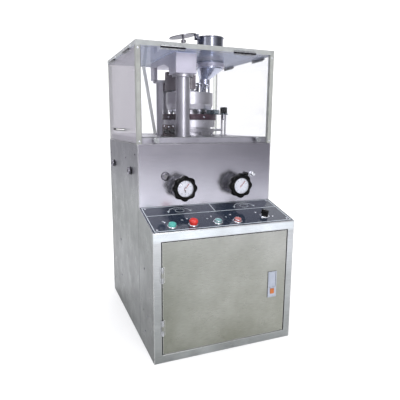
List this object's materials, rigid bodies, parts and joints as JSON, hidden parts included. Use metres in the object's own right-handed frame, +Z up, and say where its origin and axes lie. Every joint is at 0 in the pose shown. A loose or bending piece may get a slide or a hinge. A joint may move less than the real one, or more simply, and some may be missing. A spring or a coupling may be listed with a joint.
{
  "type": "tablet press",
  "caption": "Small rotary tablet press: steel cabinet with sloping console and handwheels, and a turret, feeder and hopper under a clear cover with lifting doors.",
  "frame": {"origin": "middle of the cabinet footprint, on the floor", "axes": "+Z up, front with the console and handwheels towards -Y, +X to the right seen from the front"},
  "size_m": [0.4996, 0.6576, 1.0486],
  "materials": {
    "brushed_steel": "brushed",
    "panel_film": "gloss film",
    "acrylic": "clear acrylic",
    "polished_steel": "polished",
    "cast_frame": "ground plate",
    "cast_iron": "painted casting",
    "bronze_table": "oiled dark iron",
    "black_plastic": "moulded",
    "motor_paint": "hammered paint",
    "rubber": "moulded",
    "green_plastic": "gloss",
    "red_plastic": "gloss",
    "clear_green": "translucent",
    "clear_red": "translucent",
    "orange_plastic": "gloss",
    "lock_plate": "satin",
    "feed_plastic": "satin",
    "pointer_red": "satin",
    "pointer_grey": "satin",
    "stay_paint": "satin"
  },
  "bodies": {
    "frame": {"cabinet_shell": "brushed_steel", "upper_front_panel": "brushed_steel", "control_panel": "panel_film", "cable_gland": "black_plastic", "corner_posts": "acrylic", "deck_plate": "cast_frame", "cover_top": "acrylic", "rear_cover_panel": "acrylic", "stay_bar": "stay_paint", "fixed_hinge_leaves": "polished_steel", "tie_columns": "polished_steel", "bridge_casting": "cast_frame", "cam_housing": "cast_iron", "turret_housing": "cast_iron", "dust_ring": "polished_steel", "clamp_post": "polished_steel", "motor_casing": "motor_paint", "drive_belt": "rubber", "feed_frame": "feed_plastic", "discharge_chute": "brushed_steel", "hopper_bracket": "cast_frame", "hopper": "polished_steel", "shaft_bushes": "black_plastic"},
    "turret": {"turret_shaft": "polished_steel", "upper_drum": "polished_steel", "die_table": "bronze_table", "lower_drum": "polished_steel", "upper_punches": "polished_steel", "lower_punches": "polished_steel", "main_gear": "cast_iron"},
    "layshaft_body": {"layshaft": "cast_iron"},
    "motor_rotor": {"motor_pulley": "cast_iron"},
    "upper_roller": {"upper_pressure_roller": "polished_steel"},
    "lower_roller": {"lower_pressure_roller": "polished_steel"},
    "front_cover_door": {"front_door": "acrylic", "front_door_fittings": "polished_steel"},
    "left_cover_door": {"left_door": "acrylic", "left_door_leaves": "polished_steel"},
    "right_cover_door": {"right_door": "acrylic", "right_door_leaves": "polished_steel"},
    "service_door": {"cabinet_door": "brushed_steel", "lock_body": "black_plastic"},
    "lock_lever_body": {"lock_lever": "lock_plate"},
    "lock_button_body": {"lock_button": "orange_plastic"},
    "front_latch": {"front_side_latch": "polished_steel"},
    "rear_latch": {"rear_side_latch": "polished_steel"},
    "left_wheel": {"handwheel_left": "black_plastic"},
    "right_wheel": {"handwheel_right": "black_plastic"},
    "left_long_hand": {"left_long_pointer": "pointer_red"},
    "left_short_hand": {"left_short_pointer": "pointer_grey"},
    "right_long_hand": {"right_long_pointer": "pointer_red"},
    "plug": {"lock_plug": "polished_steel"},
    "side_lever": {"ball_lever": "black_plastic"},
    "green_push": {"green_button": "green_plastic"},
    "emergency_push": {"emergency_button": "red_plastic"},
    "start_push": {"start_button": "clear_green"},
    "lamp_push": {"lamp_button": "clear_red"},
    "selector": {"selector_switch": "black_plastic"},
    "lid": {"hopper_lid": "polished_steel"},
    "feeder_knob": {"clamp_knob": "black_plastic"}
  },
  "joints": [
    {"name": "turret_turn", "type": "hinge", "parent": "frame", "child": "turret", "pos_m": [0.008, 0.044, 0.75], "axis": [0, 0, 1], "continuous": true},
    {"name": "layshaft_turn", "type": "hinge", "parent": "frame", "child": "layshaft_body", "pos_m": [0.008, 0.169, 0.48], "axis": [0, 0, 1], "continuous": true},
    {"name": "motor_turn", "type": "hinge", "parent": "frame", "child": "motor_rotor", "pos_m": [-0.122, 0.169, 0.445], "axis": [0, 0, 1], "continuous": true},
    {"name": "upper_roller_turn", "type": "hinge", "parent": "frame", "child": "upper_roller", "pos_m": [-0.058, 0.044, 0.878], "axis": [1, 0, 0], "continuous": true},
    {"name": "lower_roller_turn", "type": "hinge", "parent": "frame", "child": "lower_roller", "pos_m": [-0.058, 0.044, 0.5877], "axis": [1, 0, 0], "continuous": true},
    {"name": "front_door_lift", "type": "hinge", "parent": "frame", "child": "front_cover_door", "pos_m": [0, -0.161, 0.949], "axis": [-1, 0, 0], "range_deg": [0, 110]},
    {"name": "left_door_lift", "type": "hinge", "parent": "frame", "child": "left_cover_door", "pos_m": [-0.244, 0.081, 0.949], "axis": [0, 1, 0], "range_deg": [0, 110]},
    {"name": "right_door_lift", "type": "hinge", "parent": "frame", "child": "right_cover_door", "pos_m": [0.244, 0.081, 0.949], "axis": [0, -1, 0], "range_deg": [0, 110]},
    {"name": "service_door_swing", "type": "hinge", "parent": "frame", "child": "service_door", "pos_m": [-0.213, -0.3235, 0.2], "axis": [0, 0, -1], "range_deg": [0, 110]},
    {"name": "lock_lever_lift", "type": "hinge", "parent": "service_door", "child": "lock_lever_body", "pos_m": [0.164, -0.3195, 0.2365], "axis": [-1, 0, 0], "range_deg": [0, 35]},
    {"name": "lock_button_press", "type": "slide", "parent": "service_door", "child": "lock_button_body", "axis": [0, 1, 0], "range_m": [0, 0.003], "stiffness_N_per_m": 400, "springref_m": -0.002},
    {"name": "front_latch_turn", "type": "hinge", "parent": "frame", "child": "front_latch", "pos_m": [-0.24, -0.0585, 0.563], "axis": [1, 0, 0], "range_deg": [0, 90]},
    {"name": "rear_latch_turn", "type": "hinge", "parent": "frame", "child": "rear_latch", "pos_m": [-0.24, 0.23, 0.563], "axis": [1, 0, 0], "range_deg": [0, 90]},
    {"name": "left_wheel_turn", "type": "hinge", "parent": "frame", "child": "left_wheel", "pos_m": [-0.1, -0.2, 0.516], "axis": [0, 1, 0], "range_deg": [-900, 900]},
    {"name": "right_wheel_turn", "type": "hinge", "parent": "frame", "child": "right_wheel", "pos_m": [0.1, -0.2, 0.516], "axis": [0, 1, 0], "range_deg": [-900, 900]},
    {"name": "left_long_hand_turn", "type": "hinge", "parent": "left_wheel", "child": "left_long_hand", "pos_m": [-0.1, -0.2098, 0.516], "axis": [0, 1, 0], "range_deg": [-900, 900]},
    {"name": "left_short_hand_turn", "type": "hinge", "parent": "left_wheel", "child": "left_short_hand", "pos_m": [-0.1, -0.208, 0.516], "axis": [0, 1, 0], "range_deg": [-900, 900]},
    {"name": "right_long_hand_turn", "type": "hinge", "parent": "right_wheel", "child": "right_long_hand", "pos_m": [0.1, -0.2098, 0.516], "axis": [0, 1, 0], "range_deg": [-900, 900]},
    {"name": "plug_turn", "type": "hinge", "parent": "frame", "child": "plug", "pos_m": [-0.15, -0.16, 0.552], "axis": [0, 1, 0], "range_deg": [0, 90]},
    {"name": "side_lever_turn", "type": "hinge", "parent": "frame", "child": "side_lever", "pos_m": [0.168, -0.16, 0.549], "axis": [0, 1, 0], "range_deg": [-45, 45]},
    {"name": "green_button_press", "type": "slide", "parent": "frame", "child": "green_push", "axis": [0, 0.2564, -0.9666], "range_m": [0, 0.0035], "stiffness_N_per_m": 600, "springref_m": -0.003},
    {"name": "start_button_press", "type": "slide", "parent": "frame", "child": "start_push", "axis": [0, 0.2564, -0.9666], "range_m": [0, 0.0035], "stiffness_N_per_m": 600, "springref_m": -0.003},
    {"name": "lamp_button_press", "type": "slide", "parent": "frame", "child": "lamp_push", "axis": [0, 0.2564, -0.9666], "range_m": [0, 0.0035], "stiffness_N_per_m": 600, "springref_m": -0.003},
    {"name": "emergency_button_press", "type": "slide", "parent": "frame", "child": "emergency_push", "axis": [0, 0.2564, -0.9666], "range_m": [0, 0.004], "stiffness_N_per_m": 600, "springref_m": -0.003},
    {"name": "selector_turn", "type": "hinge", "parent": "frame", "child": "selector", "pos_m": [0.154, -0.27504, 0.42239], "axis": [0, -0.2564, 0.9666], "range_deg": [-60, 0]},
    {"name": "lid_swing", "type": "hinge", "parent": "frame", "child": "lid", "pos_m": [0.0555, 0.095, 1.045], "axis": [0, 1, 0], "range_deg": [0, 190]},
    {"name": "feeder_knob_turn", "type": "hinge", "parent": "frame", "child": "feeder_knob", "pos_m": [0.156, 0.058, 0.77], "axis": [0, 0, 1], "range_deg": [0, 720]}
  ],
  "couplings": [
    {"joint": "layshaft_turn", "follows": "turret_turn", "ratio": -4},
    {"joint": "motor_turn", "follows": "turret_turn", "ratio": -10},
    {"joint": "left_long_hand_turn", "follows": "left_wheel_turn", "ratio": -1},
    {"joint": "left_short_hand_turn", "follows": "left_wheel_turn", "ratio": -0.9},
    {"joint": "right_long_hand_turn", "follows": "right_wheel_turn", "ratio": -1}
  ]
}
